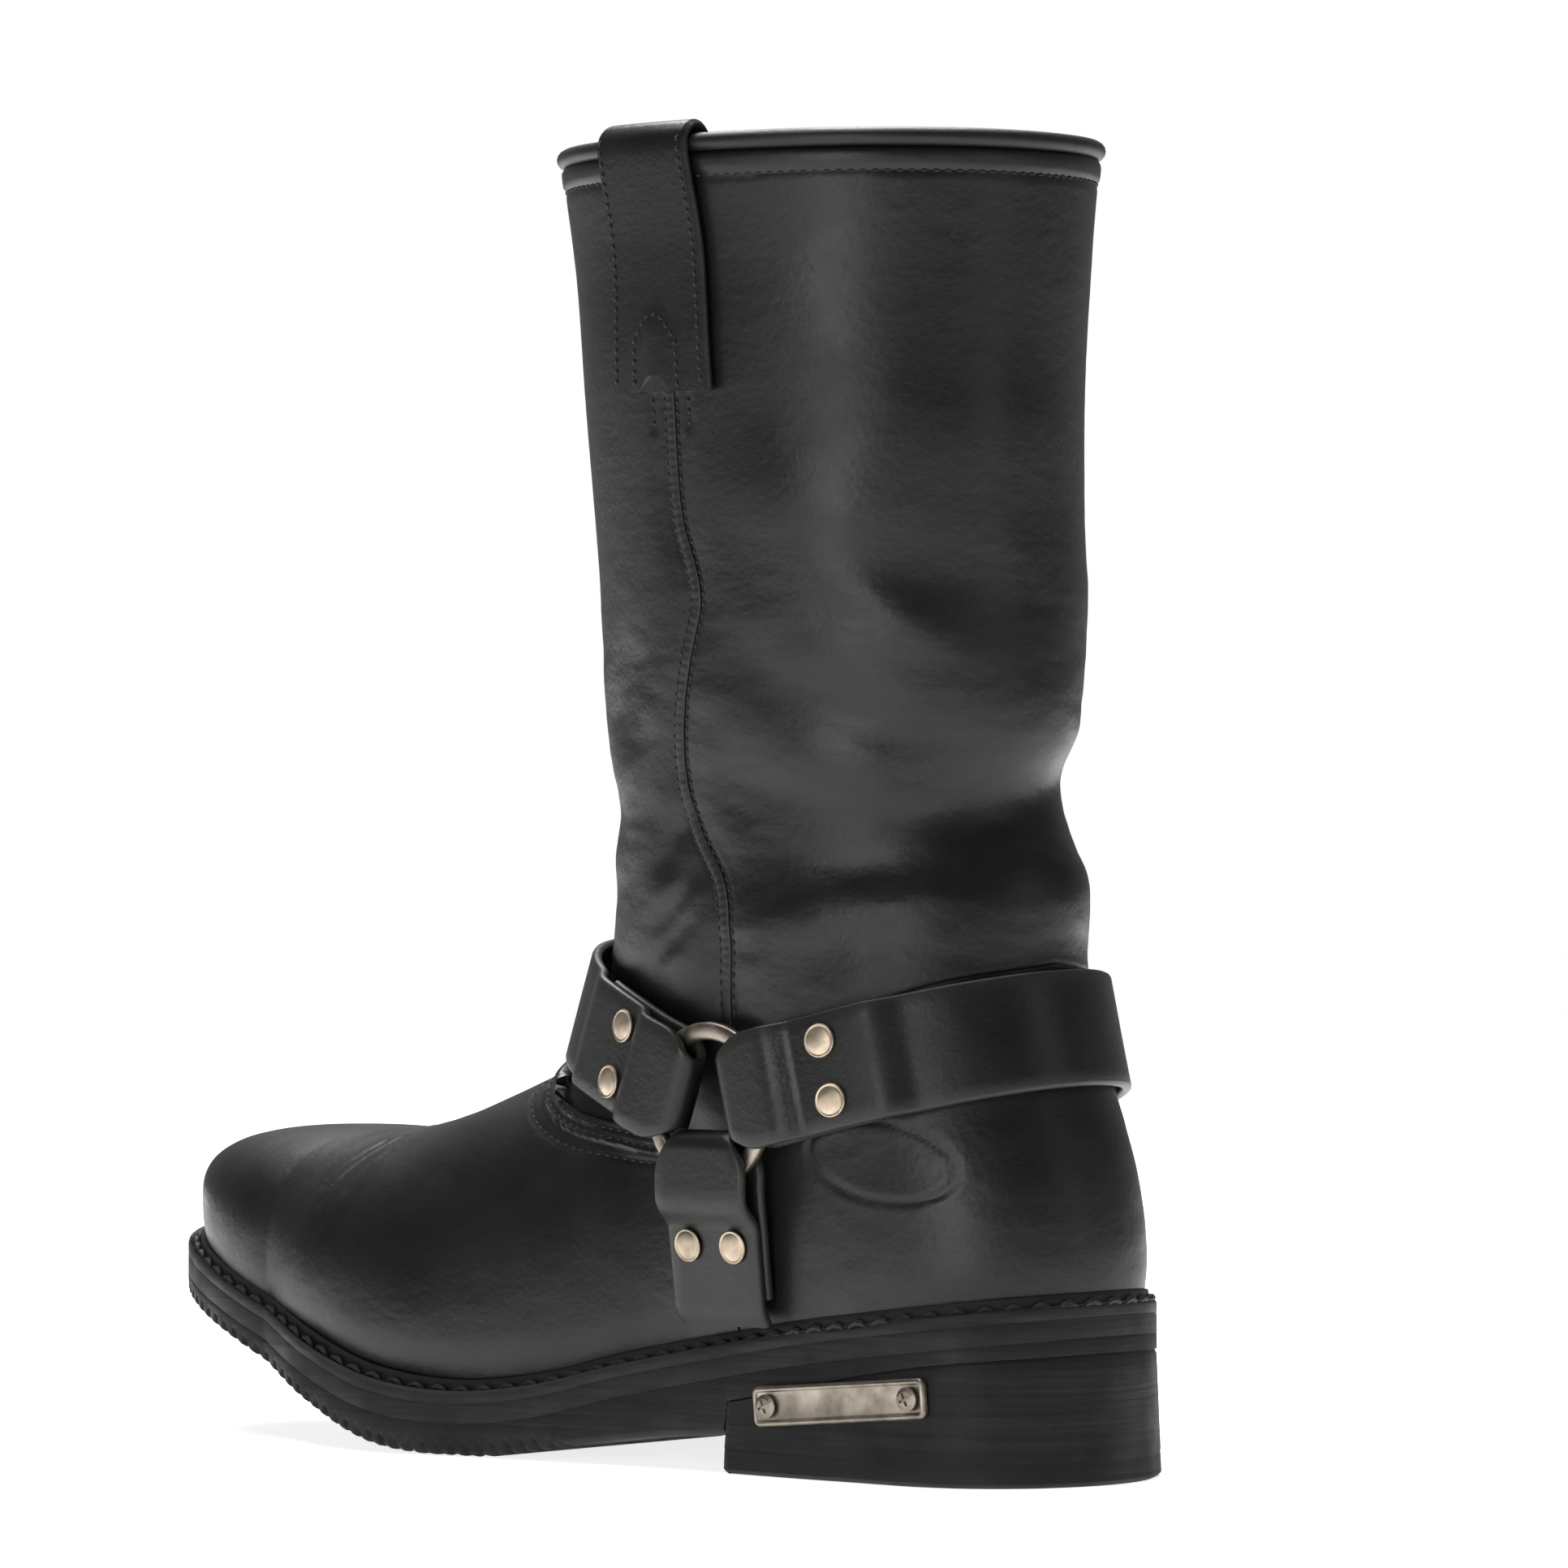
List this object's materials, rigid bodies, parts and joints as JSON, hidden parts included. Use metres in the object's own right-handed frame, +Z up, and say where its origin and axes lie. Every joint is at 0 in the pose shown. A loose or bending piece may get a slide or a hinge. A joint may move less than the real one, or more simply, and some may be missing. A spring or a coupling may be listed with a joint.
{
  "type": "harness boot",
  "caption": "Pull-on black leather boot with a tall shaft, straps joined by metal rings over the ankle, a stitched welt and a block heel.",
  "frame": {"origin": "On the floor, below the middle of the sole's length and width as the boot stands on its heel and the ball of its foot.", "axes": "+X towards the toe, +Y to the outer (lateral) side of this left boot, +Z up the leg."},
  "size_m": [0.306, 0.1202, 0.3253],
  "materials": {
    "upper_leather": "smooth black full-grain leather, semi-gloss",
    "strap_leather": "smooth black strap leather, semi-gloss",
    "edge_leather": "black binding leather, dull",
    "lining_leather": "dark lining leather, matt",
    "stiffener_board": "pressed stiffener sheet",
    "fibre_board": "brown fibre board",
    "cork": "granulated cork",
    "sole_rubber": "matt black rubber, brushed sides",
    "waxed_thread": "waxed black cord",
    "antique_nickel": "antique nickel, softly worn",
    "steel": "plain steel"
  },
  "bodies": {
    "boot": {"shaft_front": "upper_leather", "shaft_back": "upper_leather", "vamp": "upper_leather", "counter": "upper_leather", "strap_lower_lateral": "strap_leather", "strap_lower_medial": "strap_leather", "pull_strap_lateral": "strap_leather", "pull_strap_medial": "strap_leather", "rim_piping": "edge_leather", "seam_strip_lateral": "edge_leather", "seam_strip_medial": "edge_leather", "vamp_lining": "lining_leather", "heel_lining": "lining_leather", "shaft_lining": "lining_leather", "sock_liner": "lining_leather", "toe_puff": "stiffener_board", "heel_stiffener": "stiffener_board", "insole_board": "fibre_board", "cork_filler": "cork", "welt": "sole_rubber", "midsole": "sole_rubber", "outsole": "sole_rubber", "heel_block": "sole_rubber", "heel_top_lift": "sole_rubber", "welt_thread": "waxed_thread", "heel_badge": "antique_nickel", "badge_screw_front": "antique_nickel", "badge_screw_rear": "antique_nickel", "rivet_lower_lateral_front": "antique_nickel", "rivet_lower_lateral_rear": "antique_nickel", "rivet_lower_medial_front": "antique_nickel", "rivet_lower_medial_rear": "antique_nickel", "shank": "steel", "heel_nail_1": "steel", "heel_nail_2": "steel", "heel_nail_3": "steel", "heel_nail_4": "steel"},
    "ring_lateral": {"ring_lateral": "antique_nickel"},
    "ring_medial": {"ring_medial": "antique_nickel"},
    "strap_front": {"strap_front": "strap_leather", "rivet_front_lateral_upper": "antique_nickel", "rivet_front_lateral_lower": "antique_nickel", "rivet_front_medial_upper": "antique_nickel", "rivet_front_medial_lower": "antique_nickel"},
    "strap_back": {"strap_back": "strap_leather", "rivet_back_lateral_upper": "antique_nickel", "rivet_back_lateral_lower": "antique_nickel", "rivet_back_medial_upper": "antique_nickel", "rivet_back_medial_lower": "antique_nickel"}
  },
  "joints": [
    {"name": "ring_lateral_spin", "type": "hinge", "parent": "boot", "child": "ring_lateral", "pos_m": [-0.0645, 0.047, 0.089], "axis": [0, 1, 0], "continuous": true},
    {"name": "ring_medial_spin", "type": "hinge", "parent": "boot", "child": "ring_medial", "pos_m": [-0.0645, -0.047, 0.089], "axis": [0, 1, 0], "continuous": true},
    {"name": "front_strap_swing", "type": "hinge", "parent": "boot", "child": "strap_front", "pos_m": [-0.0645, 0, 0.089], "axis": [0, -1, 0], "range_deg": [0, 3]},
    {"name": "back_strap_swing", "type": "hinge", "parent": "boot", "child": "strap_back", "pos_m": [-0.0645, 0, 0.089], "axis": [0, 1, 0], "range_deg": [0, 3]}
  ]
}
